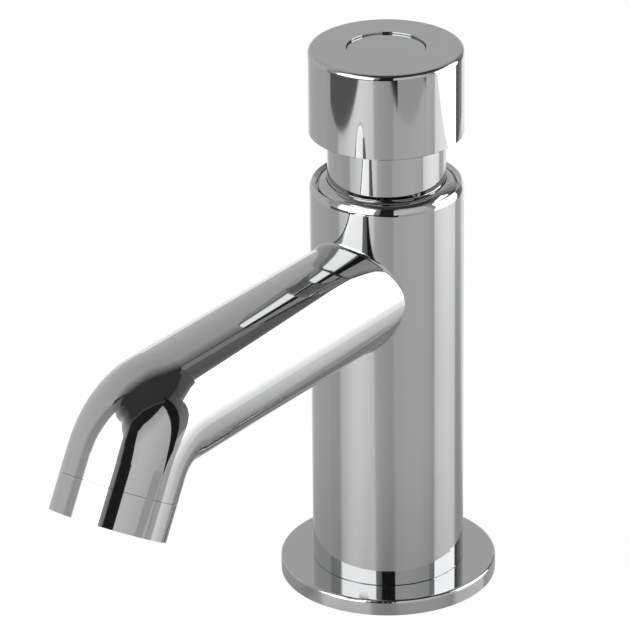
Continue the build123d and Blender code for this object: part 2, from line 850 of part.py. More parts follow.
# Slip washer, so that screwing the collar down doesn't turn the bonnet
slip_washer_thickness = 0.6
collar_radius = collar_bore_radius - thread_gap
bush_wall = 1.0
bush_radius = neck_radius + running_gap + bush_wall
collar_inner_radius = bush_radius + ring_gap

with BuildPart() as slip_washer:
    with BuildSketch(Plane.XY.offset(bonnet_top)):
        Circle(collar_radius)
        Circle(collar_inner_radius, mode=Mode.SUBTRACT)
    extrude(amount=slip_washer_thickness)
slip_washer.part.label = "slip_washer"
export_step(slip_washer.part, "parts/slip_washer.step")

# Retaining collar: screws into the body's mouth and shows round the neck
collar_crown = 1.4
collar_crown_tilt = 8.0
collar_lip_gap = 0.08
collar_lip_height = 1.6
collar_edge = 0.15
collar_line_width = 0.2
collar_line_depth = 0.6
collar_bottom = bonnet_top + slip_washer_thickness
collar_lip_radius = neck_radius + collar_lip_gap
collar_lip_bottom = body_top - collar_lip_height
collar_line_bottom = body_top - collar_line_depth
collar_rim_radius = collar_radius - collar_line_width
crown_top = body_top + collar_crown
crown_radius = collar_lip_radius + collar_edge
crown_fall = math.radians(collar_crown_tilt)

with BuildPart() as retaining_collar:
    with BuildSketch(Plane.XZ):
        with BuildLine():
            Polyline(
                (crown_radius, crown_top),
                (collar_lip_radius, crown_top - collar_edge),
                (collar_lip_radius, collar_lip_bottom),
                (collar_inner_radius, collar_lip_bottom),
                (collar_inner_radius, collar_bottom),
                (collar_radius, collar_bottom),
                (collar_radius, collar_line_bottom),
                (collar_rim_radius, collar_line_bottom),
                (collar_rim_radius, body_top),
            )
            TangentArc(
                (crown_radius, crown_top),
                (collar_rim_radius, body_top),
                tangent=(math.cos(crown_fall), -math.sin(crown_fall)),
            )
        make_face()
    revolve(axis=Axis.Z)
retaining_collar.part.label = "retaining_collar"
export_step(retaining_collar.part, "parts/retaining_collar.step")

# Guide bush inside the collar, which the neck slides in
with BuildPart() as guide_bush:
    with BuildSketch(Plane.XY.offset(collar_bottom)):
        Circle(bush_radius)
        Circle(neck_radius + running_gap, mode=Mode.SUBTRACT)
    extrude(amount=collar_lip_bottom - collar_bottom)
guide_bush.part.label = "guide_bush"
export_step(guide_bush.part, "parts/guide_bush.step")

# Push sleeve: the polished neck under the cap
sleeve_wall = 1.6
sleeve_socket_depth = 8.0
sleeve_edge = 0.3
sleeve_inner_radius = neck_radius - sleeve_wall
socket_top = cap_bottom + sleeve_socket_depth

with BuildPart() as push_sleeve:
    revolve(
        outline(
            (sleeve_inner_radius, sleeve_bottom),
            (neck_radius - sleeve_edge, sleeve_bottom),
            (neck_radius, sleeve_bottom + sleeve_edge),
            (neck_radius, socket_top),
            (sleeve_inner_radius, socket_top),
        ),
        axis=Axis.Z,
    )
push_sleeve.part.label = "push_sleeve"
export_step(push_sleeve.part, "parts/push_sleeve.step")

# Push cap: a hollow button that turns freely on the spindle's journal
cap_round = 1.3
cap_edge = 0.2
cap_boss_wall = 3.75
cap_roof = 2.5
screw_head_overhang = 1.8
screw_side_gap = 1.5
disc_ledge = 3.3
cap_socket_radius = neck_radius + ring_gap
cap_bore_radius = journal_radius + running_gap
cap_boss_radius = cap_bore_radius + cap_boss_wall
screw_head_radius = journal_radius + screw_head_overhang
screw_pocket_radius = screw_head_radius + screw_side_gap
disc_recess_radius = screw_pocket_radius + disc_ledge
cap_ceiling = boss_floor - cap_roof

with BuildPart() as push_cap:
    revolve(
        outline(
            (cap_socket_radius, cap_bottom),
            (cap_radius - cap_edge, cap_bottom),
            (cap_radius, cap_bottom + cap_edge),
            (cap_radius, cap_top),
            (disc_recess_radius, cap_top),
            (disc_recess_radius, disc_floor),
            (screw_pocket_radius, disc_floor),
            (screw_pocket_radius, boss_floor),
            (cap_bore_radius, boss_floor),
            (cap_bore_radius, shoulder_top),
            (cap_boss_radius, shoulder_top),
            (cap_boss_radius, cap_ceiling),
            (sleeve_inner_radius, cap_ceiling),
            (sleeve_inner_radius, socket_top),
            (cap_socket_radius, socket_top),
        ),
        axis=Axis.Z,
    )
    lip_edge = push_cap.edges().group_by(Axis.Z)[-1].sort_by(SortBy.RADIUS)[-1]
    fillet(lip_edge, cap_round)
push_cap.part.label = "push_cap"
export_step(push_cap.part, "parts/push_cap.step")

# Screw in the spindle's end that keeps the cap on
screw_head_height = 2.6
screw_length = 8.0
screw_slot_width = 1.2
screw_slot_depth = 1.2
screw_radius = screw_hole_radius - ring_gap

with BuildPart() as cap_screw:
    revolve(
        outline(
            (0, journal_top - screw_length),
            (screw_radius, journal_top - screw_length),
            (screw_radius, journal_top),
            (screw_head_radius, journal_top),
            (screw_head_radius, journal_top + screw_head_height),
            (0, journal_top + screw_head_height),
        ),
        axis=Axis.Z,
    )
    with BuildSketch(Plane.XY.offset(journal_top + screw_head_height)):
        Rectangle(screw_head_radius * 2, screw_slot_width)
    extrude(amount=-screw_slot_depth, mode=Mode.SUBTRACT)
cap_screw.part.label = "cap_screw"
export_step(cap_screw.part, "parts/cap_screw.step")

# Plain index disc that covers the screw, with a notch to lift it out by
disc_gap = 0.12
disc_edge = 0.2
notch_radius = 0.9
index_disc_radius = disc_recess_radius - disc_gap

with BuildPart() as index_disc:
    with BuildSketch(Plane.XY.offset(disc_floor)):
        Circle(index_disc_radius)
        with Locations((0, -index_disc_radius)):
            Circle(notch_radius, mode=Mode.SUBTRACT)
    extrude(amount=disc_thickness)
    disc_rim = index_disc.edges().group_by(Axis.Z)[-1]
    chamfer(disc_rim, disc_edge)
index_disc.part.label = "index_disc"
export_step(index_disc.part, "parts/index_disc.step")

# Outlet nozzle: the ring that screws onto the spout's end and holds the aerator
nozzle_round = 0.9
nozzle_lip_width = 1.3
aerator_ledge = 1.6
nozzle_seam = 0.15
aerator_top = nozzle_lip_height + aerator_height
nozzle_socket_radius = spout_spigot_radius + thread_gap
aerator_seat_radius = spout_spigot_radius - aerator_ledge
nozzle_mouth_radius = aerator_seat_radius - nozzle_lip_width

with BuildPart() as outlet_nozzle:
    revolve(
        outline(
            (nozzle_mouth_radius, 0),
            (spout_radius, 0),
            (spout_radius, nozzle_length - nozzle_seam),
            (spout_radius - nozzle_seam, nozzle_length),
            (nozzle_socket_radius, nozzle_length),
            (nozzle_socket_radius, aerator_top),
            (aerator_seat_radius, aerator_top),
            (aerator_seat_radius, nozzle_lip_height),
            (nozzle_mouth_radius, nozzle_lip_height),
            plane=outlet_section,
        ),
        axis=outlet_axis,
    )
    tip_edge = outlet_nozzle.edges().filter_by(GeomType.CIRCLE).sort_by(Axis.Z)
    outer_tip = tip_edge.sort_by(lambda edge: (edge.center() - outlet_tip).length)
    mouth_edges = outer_tip.group_by(lambda edge: round((edge.center() - outlet_tip).length, 3))[0]
    fillet(mouth_edges.sort_by(SortBy.RADIUS)[-1], nozzle_round)
outlet_nozzle.part.label = "outlet_nozzle"
export_step(outlet_nozzle.part, "parts/outlet_nozzle.step")

# Aerator body: a short cup whose plate breaks the water into jets
aerator_wall = 1.5
aerator_plate = 1.2
jet_radius = 0.6
jet_ring_radii_shares = (0.3, 0.6, 0.9)
jets_in_first_ring = 6
aerator_radius = aerator_seat_radius - ring_gap
aerator_room_radius = aerator_radius - aerator_wall
jet_field_radius = aerator_room_radius - aerator_wall

with BuildPart() as aerator_body:
    revolve(
        outline(
            (0, aerator_top - aerator_plate),
            (aerator_room_radius, aerator_top - aerator_plate),
            (aerator_room_radius, nozzle_lip_height),
            (aerator_radius, nozzle_lip_height),
            (aerator_radius, aerator_top),
            (0, aerator_top),
            plane=outlet_section,
        ),
        axis=outlet_axis,
    )
    with BuildSketch(outlet_plane(aerator_top)):
        for ring_number, share in enumerate(jet_ring_radii_shares):
            with PolarLocations(jet_field_radius * share, jets_in_first_ring * (ring_number + 1)):
                Circle(jet_radius)
    extrude(amount=-(aerator_plate + cut_overrun), mode=Mode.SUBTRACT)
aerator_body.part.label = "aerator_body"
export_step(aerator_body.part, "parts/aerator_body.step")

# Perforated screen under the plate, seen in the mouth of the nozzle
screen_thickness = 0.4
screen_hole_radius = 0.62
screen_ring_radii_shares = (0.2, 0.4, 0.6, 0.8)
screen_gap = 0.1
screen_radius = aerator_room_radius - screen_gap
screen_field_radius = screen_radius + screen_hole_radius
screen_bottom = nozzle_lip_height + screen_gap

with BuildPart() as aerator_screen:
    with BuildSketch(outlet_plane(screen_bottom)):
        Circle(screen_radius)
        Circle(screen_hole_radius, mode=Mode.SUBTRACT)
        for ring_number, share in enumerate(screen_ring_radii_shares):
            with PolarLocations(screen_field_radius * share, jets_in_first_ring * (ring_number + 1)):
                Circle(screen_hole_radius, mode=Mode.SUBTRACT)
    extrude(amount=screen_thickness)
aerator_screen.part.label = "aerator_screen"
export_step(aerator_screen.part, "parts/aerator_screen.step")

# Washer between the aerator and the end of the spout
with BuildPart() as aerator_washer:
    with BuildSketch(outlet_plane(aerator_top)):
        Circle(spout_spigot_radius)
        Circle(waterway_radius - aerator_wall, mode=Mode.SUBTRACT)
    extrude(amount=aerator_washer_thickness)
aerator_washer.part.label = "aerator_washer"
export_step(aerator_washer.part, "parts/aerator_washer.step")

# Flow regulator resting on the aerator's plate
regulator_side_gap = 2.5
regulator_height = 2.4
regulator_hole_radius = 0.9
regulator_hole_share = 0.6
regulator_hole_count = 8
regulator_radius = waterway_radius - regulator_side_gap

with BuildPart() as flow_regulator:
    with BuildSketch(outlet_plane(aerator_top)):
        Circle(regulator_radius)
        with PolarLocations(regulator_radius * regulator_hole_share, regulator_hole_count):
            Circle(regulator_hole_radius, mode=Mode.SUBTRACT)
    extrude(amount=regulator_height)
flow_regulator.part.label = "flow_regulator"
export_step(flow_regulator.part, "parts/flow_regulator.step")
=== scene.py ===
import math

import bmesh
import bpy
from bpy.props import FloatProperty, FloatVectorProperty, PointerProperty
from mathutils import Matrix, Vector


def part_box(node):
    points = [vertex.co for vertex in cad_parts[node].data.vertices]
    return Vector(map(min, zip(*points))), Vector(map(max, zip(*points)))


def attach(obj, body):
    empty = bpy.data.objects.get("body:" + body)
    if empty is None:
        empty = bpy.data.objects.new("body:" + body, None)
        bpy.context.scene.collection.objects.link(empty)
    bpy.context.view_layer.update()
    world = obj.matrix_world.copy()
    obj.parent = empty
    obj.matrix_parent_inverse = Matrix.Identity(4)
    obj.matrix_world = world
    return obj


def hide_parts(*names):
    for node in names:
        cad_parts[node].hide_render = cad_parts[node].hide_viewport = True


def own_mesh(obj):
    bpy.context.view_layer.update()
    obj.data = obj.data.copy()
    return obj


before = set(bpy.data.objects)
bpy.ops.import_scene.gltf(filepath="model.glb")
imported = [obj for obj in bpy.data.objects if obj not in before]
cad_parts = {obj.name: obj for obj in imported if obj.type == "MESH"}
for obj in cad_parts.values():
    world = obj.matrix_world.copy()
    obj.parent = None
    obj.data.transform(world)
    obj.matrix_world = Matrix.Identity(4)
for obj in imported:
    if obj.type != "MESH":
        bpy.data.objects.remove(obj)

bl_info = {
    "name": "Push timed tap",
    "version": (1, 0, 0),
    "blender": (4, 5, 0),
    "location": "3D View > Sidebar > Tap",
    "description": "Finishes, threads, spring and stage of a self-closing basin tap",
    "category": "Object",
}

CHROME_NODES = (
    "tap_body",
    "base_flange",
    "retaining_collar",
    "push_sleeve",
    "push_cap",
    "index_disc",
    "outlet_nozzle",
)
BRASS_NODES = ("cartridge_bonnet", "valve_holder")
STEEL_NODES = (
    "clamp_washer",
    "spindle",
    "valve_nut",
    "valve_seat",
    "piston_circlip",
    "metering_pin",
    "cap_screw",
    "inlet_strainer",
)
RUBBER_NODES = (
    "deck_seal",
    "flange_oring",
    "tail_oring",
    "deck_washer",
    "cartridge_oring",
    "valve_disc",
    "lip_seal",
    "bonnet_oring",
    "spindle_orings",
    "aerator_washer",
)
PLASTIC_NODES = (
    "cartridge_body",
    "timing_piston",
    "spring_seat",
    "slip_washer",
    "guide_bush",
    "aerator_body",
    "flow_regulator",
)

tail_low, tail_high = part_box("threaded_tail")
nut_low, nut_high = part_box("back_nut")
spring_low, spring_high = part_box("return_spring")
screen_low, screen_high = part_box("aerator_screen")


class TapSizes(bpy.types.PropertyGroup):
    """Sizes of the pieces that are modelled here."""

    thread_radius: FloatProperty(
        name="Thread radius",
        description="Crest radius of the tail's thread",
        default=0.0104775,
        unit="LENGTH",
    )
    thread_pitch: FloatProperty(
        name="Thread pitch",
        description="Rise of the tail's thread in one turn",
        default=0.001814,
        unit="LENGTH",
    )
    thread_depth: FloatProperty(
        name="Thread depth", description="Height of the thread's ridge", default=0.00116, unit="LENGTH"
    )
    tail_bore: FloatProperty(
        name="Tail bore radius",
        description="Radius of the water way in the tail",
        default=0.007,
        unit="LENGTH",
    )
    head_foot: FloatProperty(
        name="Head's foot",
        description="Height where the tail's head begins",
        default=0.0004,
        unit="LENGTH",
    )
    groove_low: FloatProperty(
        name="Seal groove, far side",
        description="From the head's top down to the groove's foot",
        default=0.0034,
        unit="LENGTH",
    )
    groove_high: FloatProperty(
        name="Seal groove, near side",
        description="From the head's top down to the groove",
        default=0.002,
        unit="LENGTH",
    )
    groove_depth: FloatProperty(
        name="Seal groove depth",
        description="How deep the groove is cut into the head",
        default=0.0013,
        unit="LENGTH",
    )
    seat_step: FloatProperty(
        name="Strainer seat width",
        description="Step from the bore to the strainer's seat",
        default=0.0014,
        unit="LENGTH",
    )
    seat_depth: FloatProperty(
        name="Strainer seat depth",
        description="How deep the strainer's rim is let in",
        default=0.0015,
        unit="LENGTH",
    )
    relief_low: FloatProperty(
        name="Relief, low end",
        description="Height of the lower end of the turned relief",
        default=-0.0305,
        unit="LENGTH",
    )
    relief_high: FloatProperty(
        name="Relief, high end",
        description="Height of the upper end of the turned relief",
        default=-0.0285,
        unit="LENGTH",
    )
    wire_radius: FloatProperty(
        name="Spring wire radius",
        description="Radius of the return spring's wire",
        default=0.0007,
        unit="LENGTH",
    )
    spring_end_pitch: FloatProperty(
        name="Closed turn's rise",
        description="Rise of the spring's closed end turns",
        default=0.0019,
        unit="LENGTH",
    )
    spring_open_turns: FloatProperty(
        name="Open turns", description="How many turns of the spring stand open", default=3.5
    )
    spring_anchor: FloatProperty(
        name="Spring's seat",
        description="Height that the spring stands on",
        default=0.0736,
        unit="LENGTH",
    )
    spring_keep: FloatProperty(
        name="Pressed share",
        description="Length that the pressed spring keeps, as a share",
        default=0.565,
        subtype="FACTOR",
    )
    screen_radius: FloatProperty(
        name="Screen radius", description="Radius of the aerator's screen", default=0.01065, unit="LENGTH"
    )
    outlet_tilt: FloatProperty(
        name="Outlet tilt",
        description="How far the outlet leans from straight down",
        default=math.radians(-30.0),
        unit="ROTATION",
    )


class TapFinishes(bpy.types.PropertyGroup):
    """Colours of the tap's finishes."""

    chrome: FloatVectorProperty(
        name="Chrome",
        description="Polished chromium plate",
        default=(0.56, 0.563, 0.567),
        subtype="COLOR",
    )
    brass: FloatVectorProperty(
        name="Brass", description="Unplated machined brass", default=(0.66, 0.44, 0.16), subtype="COLOR"
    )
    steel: FloatVectorProperty(
        name="Steel",
        description="Machined stainless steel",
        default=(0.50, 0.495, 0.485),
        subtype="COLOR",
    )
    rubber: FloatVectorProperty(
        name="Rubber", description="Moulded black rubber", default=(0.018, 0.018, 0.019), subtype="COLOR"
    )
    plastic: FloatVectorProperty(
        name="Plastic",
        description="Pale engineering plastic",
        default=(0.72, 0.71, 0.66),
        subtype="COLOR",
    )


class TapStage(bpy.types.PropertyGroup):
    """The floor, the lights and the camera."""

    floor_radius: FloatProperty(
        name="Floor radius", description="Radius of the pale floor", default=3.0, unit="LENGTH"
    )
    hole_radius: FloatProperty(
        name="Deck hole radius",
        description="Hole that the tail passes through",
        default=0.0125,
        unit="LENGTH",
    )
    floor_colour: FloatVectorProperty(
        name="Floor colour",
        description="Colour under the plain white",
        default=(0.9, 0.9, 0.9),
        subtype="COLOR",
    )
    floor_lift: FloatProperty(
        name="Floor lift",
        description="Share of plain white in the floor; the rest keeps shadows",
        default=0.95,
        subtype="FACTOR",
    )
    floor_polish: FloatProperty(
        name="Floor polish",
        description="How strongly the floor mirrors the room towards the metal",
        default=1.65,
    )
    floor_polish_limit: FloatProperty(
        name="Floor polish limit",
        description="Most that the floor mirrors at a low angle",
        default=0.36,
        subtype="FACTOR",
    )
    floor_roughness: FloatProperty(
        name="Floor roughness",
        description="How blurred the floor mirrors the room",
        default=0.2,
        subtype="FACTOR",
    )
    # The floor's pools of light are painted, as the metal sees them
    pool_offset: FloatProperty(
        name="Pool offset",
        description="How far the light pools' middle lies towards the spout",
        default=0.016,
        unit="LENGTH",
    )
    pool_rise: FloatProperty(
        name="Pool rise", description="How much lighter the pools get behind the tap", default=0.18
    )
    pool_rise_start: FloatProperty(
        name="Pool rise start", description="Where the rise begins", default=0.12, unit="LENGTH"
    )
    pool_rise_end: FloatProperty(
        name="Pool rise end", description="Where the rise is full", default=0.31, unit="LENGTH"
    )
    # Painted shade: the painted pools grow darker towards the tap's foot
    contact_shade_level: FloatProperty(
        name="Contact level",
        description="Light of the pools at the tap's foot, as a share",
        default=0.72,
        subtype="FACTOR",
    )
    contact_shade_reach: FloatProperty(
        name="Contact reach", description="How far the darker foot reaches", default=0.13, unit="LENGTH"
    )
    dome_radius: FloatProperty(
        name="Panel distance",
        description="How far the light and dark panels stand",
        default=2.0,
        unit="LENGTH",
    )
    room_mirrored: FloatProperty(
        name="Room in the metal", description="Brightness of the room as the metal shows it", default=0.55
    )
    room_light: FloatProperty(
        name="Room light", description="Even light of the room on the object", default=0.75
    )
    lamp_power: FloatProperty(
        name="Lamp power",
        description="Power of the main lamp",
        default=9.0,
        unit="POWER",
    )
    lamp_size: FloatProperty(
        name="Lamp size",
        description="Width of the main lamp",
        default=0.9,
        unit="LENGTH",
    )
    lamp_place: FloatVectorProperty(
        name="Lamp",
        description="Where the main lamp hangs",
        default=(-0.5, -0.6, 1.1),
        subtype="TRANSLATION",
    )
    lamp_aim: FloatVectorProperty(
        name="Lamp aim",
        description="Which way the main lamp shines",
        default=(0.5, 0.55, -1.05),
        subtype="DIRECTION",
    )
    camera_place: FloatVectorProperty(
        name="Camera",
        description="Where the camera stands",
        default=(0.70597, -1.00983, 0.65450),
        subtype="TRANSLATION",
    )
    lens: FloatProperty(
        name="Lens",
        description="Focal length in millimetres",
        default=283.2,
        unit="CAMERA",
    )


# Smoothness of the round shapes: how many steps make a full turn
FLOOR_STEPS = 96
TAIL_STEPS = 96
THREAD_STEPS = 40
NUT_STEPS = 120
SPRING_STEPS = 36
RIM_STEPS = 72

# Vertices nearer than this merge, and faces that meet at more than this angle, in
# degrees, keep a sharp edge between them
WELD_DISTANCE = 0.0000002
SHARP_ANGLE = 32.0

WHITE = (1.0, 1.0, 1.0, 1.0)

# The camera's own axes: across the picture, down it, and straight ahead. The
# sensor's width is in millimetres
CAMERA_ACROSS = Vector((0.81292756, 0.58228042, -0.00991479))
CAMERA_DOWN = Vector((0.23963707, -0.34997962, -0.90558729))
CAMERA_AHEAD = Vector((-0.53077572, 0.73380091, -0.42404405))
SENSOR_WIDTH = 36.0
CLIP_START = 0.05
CLIP_END = 20.0

# The middle of the room, the gap between its layers, and the cells of a patch
# in degrees
ROOM_MIDDLE = (0.0, -0.1, 0.096)
LAYER_GAP = 0.005
CELL_TURN = 5.0
CELL_RISE = 4.0

# The floor's roughness to the lamp, and how strongly its glaze bends light
FLOOR_MATT = 0.5
FLOOR_IOR = 1.5

# The room far round the object, from its outer layer inwards: patches with four
# corners (heading, elevation, light), foot first and anticlockwise. Headings and
# elevations are in degrees, and headings run from the spout's side towards +X
ROOM_PATCHES = {
    "ceiling": ((-183.0, 40.0, 0.045), (183.0, 40.0, 0.045), (183.0, 90.0, 0.055), (-183.0, 90.0, 0.055)),
    "left_wall": ((-183.0, -6.0, 0.66), (-58.0, -6.0, 0.70), (-70.0, 50.0, 0.61), (-158.0, 50.0, 0.46)),
    "left_wall_corner": (
        (-184.0, 30.0, 0.26), (-166.0, 30.0, 0.62), (-157.0, 50.0, 0.48), (-184.0, 50.0, 0.07)
    ),
    "left_wall_brow": (
        (-158.0, 50.0, 0.47), (-115.0, 50.0, 0.61), (-115.0, 60.0, 0.46), (-158.0, 60.0, 0.27)
    ),
    "left_wall_rise": (
        (-115.0, 50.0, 0.61), (-75.0, 50.0, 0.60), (-79.0, 60.0, 0.25), (-115.0, 60.0, 0.46)
    ),
    "left_corner_rise": (
        (-184.0, 50.0, 0.07), (-158.0, 50.0, 0.47), (-158.0, 60.0, 0.27), (-184.0, 60.0, 0.04)
    ),
    "left_corner_top": (
        (-184.0, 60.0, 0.04), (-158.0, 60.0, 0.27), (-152.0, 74.0, 0.05), (-184.0, 66.0, 0.04)
    ),
    "left_wall_crest": (
        (-158.0, 60.0, 0.27), (-115.0, 60.0, 0.46), (-115.0, 75.0, 0.05), (-152.0, 74.0, 0.05)
    ),
    "left_wall_top": ((-115.0, 60.0, 0.46), (-79.0, 60.0, 0.25), (-84.0, 73.0, 0.05), (-115.0, 75.0, 0.05)),
    "gap_by_wall": ((-57.0, -6.0, 0.52), (-39.0, -6.0, 0.60), (-47.0, 53.0, 0.42), (-68.0, 53.0, 0.33)),
    "gap_top": ((-68.0, 53.0, 0.33), (-47.0, 53.0, 0.42), (-46.0, 64.0, 0.17), (-78.0, 64.0, 0.08)),
    "wall_end": ((-63.0, -6.0, 0.70), (-55.0, -6.0, 0.50), (-66.0, 52.0, 0.33), (-76.0, 52.0, 0.58)),
    "front_glow": ((-47.0, 57.0, 0.55), (-5.0, 59.0, 0.75), (-5.0, 65.0, 0.20), (-47.0, 64.0, 0.15)),
    "front_haze": ((-47.0, 64.0, 0.15), (-5.0, 65.0, 0.20), (-5.0, 71.0, 0.06), (-47.0, 69.0, 0.06)),
    "corner_glow": ((-5.0, 59.0, 0.75), (18.0, 46.0, 0.70), (26.0, 58.0, 0.15), (-5.0, 65.0, 0.20)),
    "corner_haze": ((-5.0, 65.0, 0.20), (26.0, 58.0, 0.15), (28.0, 63.0, 0.07), (-5.0, 71.0, 0.06)),
    "front_edge": ((-42.0, -6.0, 0.60), (-37.0, -6.0, 2.40), (-44.0, 57.0, 2.20), (-49.0, 57.0, 0.45)),
    "front_softbox": ((-38.0, -6.0, 2.7), (-5.0, -6.0, 2.7), (-5.0, 59.0, 2.4), (-45.0, 57.5, 2.2)),
    "front_corner": ((-5.0, -6.0, 2.7), (16.5, -6.0, 2.7), (18.0, 47.0, 2.2), (-5.0, 59.0, 2.4)),
    "grey_band": ((16.5, -6.0, 0.34), (25.5, -6.0, 0.28), (28.0, 50.0, 0.20), (18.0, 48.0, 0.52)),
    "grey_band_top": ((18.0, 48.0, 0.52), (28.0, 50.0, 0.20), (29.0, 60.0, 0.09), (24.5, 58.0, 0.17)),
    "beam_rim": ((24.0, 58.0, 0.14), (60.0, 60.0, 0.14), (60.0, 68.5, 0.10), (27.0, 63.0, 0.12)),
    "beam_rim_middle": ((60.0, 55.0, 0.14), (90.0, 55.0, 0.13), (90.0, 63.5, 0.10), (60.0, 68.5, 0.10)),
    "beam_rim_end": ((90.0, 50.0, 0.13), (115.0, 46.0, 0.13), (114.5, 50.0, 0.13), (90.0, 63.5, 0.10)),
    "beam_start": ((25.5, 38.0, 0.02), (60.0, 38.0, 0.02), (60.0, 66.5, 0.022), (28.0, 61.0, 0.03)),
    "beam_middle": ((60.0, 45.0, 0.02), (90.0, 45.0, 0.02), (90.0, 61.5, 0.022), (60.0, 66.5, 0.022)),
    "beam_end": ((90.0, 40.0, 0.02), (112.5, 40.0, 0.015), (112.5, 48.5, 0.02), (90.0, 61.5, 0.022)),
    "camera_card": ((25.0, -6.0, 0.02), (48.0, -6.0, 0.02), (51.0, 47.0, 0.02), (28.0, 47.0, 0.02)),
    "side_wall": ((46.5, -6.0, 0.94), (62.0, -6.0, 0.77), (62.0, 34.0, 0.80), (48.5, 34.0, 0.72)),
    "side_wall_far": ((62.0, -6.0, 0.77), (108.0, -6.0, 0.60), (103.0, 34.0, 0.72), (62.0, 34.0, 0.82)),
    "side_wall_brow": ((48.5, 34.0, 0.72), (62.0, 34.0, 0.80), (62.0, 50.0, 0.55), (51.0, 46.5, 0.55)),
    "side_wall_top": ((62.0, 34.0, 0.82), (103.0, 34.0, 0.72), (101.0, 50.5, 0.50), (62.0, 50.0, 0.55)),
    "slot_light": ((112.0, -16.0, 0.34), (124.0, -16.0, 0.36), (124.0, 50.0, 0.13), (112.0, 50.0, 0.09)),
    "high_glow": ((121.0, 32.0, 0.40), (181.0, 32.0, 0.30), (181.0, 38.0, 0.16), (121.0, 38.0, 0.14)),
    "high_card": ((121.0, 38.0, 0.14), (181.0, 38.0, 0.16), (181.0, 49.5, 0.12), (121.0, 49.5, 0.09)),
}

# Near panels of the studio: corners (heading in degrees, reach and height in
# metres), brightness
NEAR_PANELS = {
    "side_softbox": (
        ((109.0, 0.427, 0.0), (155.0, 0.3135, 0.0), (155.0, 0.3135, 0.37), (109.0, 0.427, 0.37)),
        2.7,
    ),
    "side_flag": (
        ((155.5, 0.3145, 0.0), (166.0, 0.324, 0.0), (166.0, 0.324, 0.60), (155.5, 0.3145, 0.60)),
        0.16,
    ),
    "side_flag_end": (
        ((166.0, 0.324, 0.0), (177.0, 0.340, 0.0), (177.0, 0.340, 0.60), (166.0, 0.324, 0.60)),
        0.30,
    ),
    "middle_flag": (
        ((91.5, 0.28, 0.046), (92.1, 0.39, 0.0), (92.5, 0.45, 0.0), (92.5, 0.66, 0.62), (91.5, 0.30, 0.62)),
        0.015,
    ),
    # Painted reflection: a dark strip on the floor below the flag, standing in for its mirror image
    "middle_flag_painted_reflection": (
        ((94.0, 0.39, 0.0006), (94.0, 0.45, 0.0006), (89.5, 0.41, 0.0006), (89.5, 0.395, 0.0006)),
        0.03,
    ),
    "front_end": (
        ((-53.0, 0.366, 0.0003), (17.3, 0.554, 0.0003), (17.3, 3.0, 0.0003), (-53.0, 3.0, 0.0003)),
        0.14,
    ),
    "corner_end": (
        ((17.3, 0.554, 0.0003), (51.0, 0.372, 0.0003), (51.0, 3.0, 0.0003), (17.3, 3.0, 0.0003)),
        0.02,
    ),
    "side_end": (
        (
            (51.0, 0.372, 0.0003),
            (67.0, 0.358, 0.0003),
            (91.0, 0.392, 0.0003),
            (91.0, 3.0, 0.0003),
            (51.0, 3.0, 0.0003),
        ),
        0.50,
    ),
    "side_end_far": (
        ((91.0, 0.392, 0.0003), (109.0, 0.427, 0.0003), (109.0, 3.0, 0.0003), (91.0, 3.0, 0.0003)),
        0.60,
    ),
}

# Pools of light painted on the floor, as the metal shows them: heading from
# their own middle, in degrees, and brightness
PAINTED_LIGHT_POOLS = (
    (-180.0, 0.78),
    (-130.0, 0.78),
    (-118.0, 0.48),
    (-110.0, 0.42),
    (-62.1, 0.41),
    (-49.5, 0.40),
    (-37.8, 0.32),
    (-31.0, 0.33),
    (-24.0, 0.43),
    (-16.3, 0.52),
    (-5.4, 0.54),
    (5.0, 0.50),
    (14.9, 0.44),
    (24.5, 0.49),
    (34.0, 0.49),
    (52.6, 0.42),
    (80.5, 0.47),
    (90.6, 0.48),
    (100.5, 0.45),
    (110.3, 0.40),
    (116.1, 0.43),
    (120.9, 0.50),
    (133.3, 0.57),
    (146.2, 0.51),
    (154.0, 0.42),
    (161.5, 0.37),
    (173.0, 0.39),
)

# Heading, in degrees, towards which the painted pools of light get lighter
POOL_RISE_HEADING = 152.0


def sizes():
    return bpy.context.scene.tap_sizes


def finishes():
    return bpy.context.scene.tap_finishes


def stage_values():
    return bpy.context.scene.tap_stage


def make_object(name, bm, material):
    """Closes a bmesh into a shown object with one material."""
    if not bm.faces:
        raise RuntimeError(f"{name} has no faces")
    mesh = bpy.data.meshes.new(name)
    bm.to_mesh(mesh)
    bm.free()
    mesh.materials.append(material)
    obj = bpy.data.objects.new(name, mesh)
    bpy.context.scene.collection.objects.link(obj)
    return obj


def add_node(tree, kind, inputs=None, **settings):
    """A node with its settings, each input linked to a socket or set to a value."""
    node = tree.nodes.new(kind)
    for name, value in settings.items():
        setattr(node, name, value)
    for key, value in (inputs or {}).items():
        if isinstance(value, bpy.types.NodeSocket):
            tree.links.new(value, node.inputs[key])
        else:
            node.inputs[key].default_value = value
    return node


def add_math(tree, operation, *values):
    """The result of a math node on sockets and plain numbers."""
    return add_node(tree, "ShaderNodeMath", dict(enumerate(values)), operation=operation).outputs[0]


def add_range(tree, value, low, high, start=0.3, end=0.7, kind="LINEAR"):
    """A value moved from the range of start and end to that of low and high."""
    ends = {"Value": value, "From Min": start, "From Max": end, "To Min": low, "To Max": high}
    return add_node(tree, "ShaderNodeMapRange", ends, interpolation_type=kind).outputs["Result"]


def stage_shader(name):
    """An empty node tree with its output, for a stage material."""
    material = bpy.data.materials.new(name)
    material.use_nodes = True
    material.cycles.emission_sampling = "NONE"
    tree = material.node_tree
    tree.nodes.clear()
    return material, tree, tree.nodes.new("ShaderNodeOutputMaterial")


def panel_material(name, brightness):
    """A plain panel that shines or stays dark."""
    material, tree, output = stage_shader(name)
    glow = add_node(tree, "ShaderNodeEmission", {"Color": WHITE, "Strength": brightness})
    tree.links.new(glow.outputs["Emission"], output.inputs["Surface"])
    return material


def heading(degrees, reach, height=0.0):
    """A place on the floor, or above it, from its heading and reach."""
    angle = math.radians(degrees)
    return Vector((reach * math.sin(angle), -reach * math.cos(angle), height))


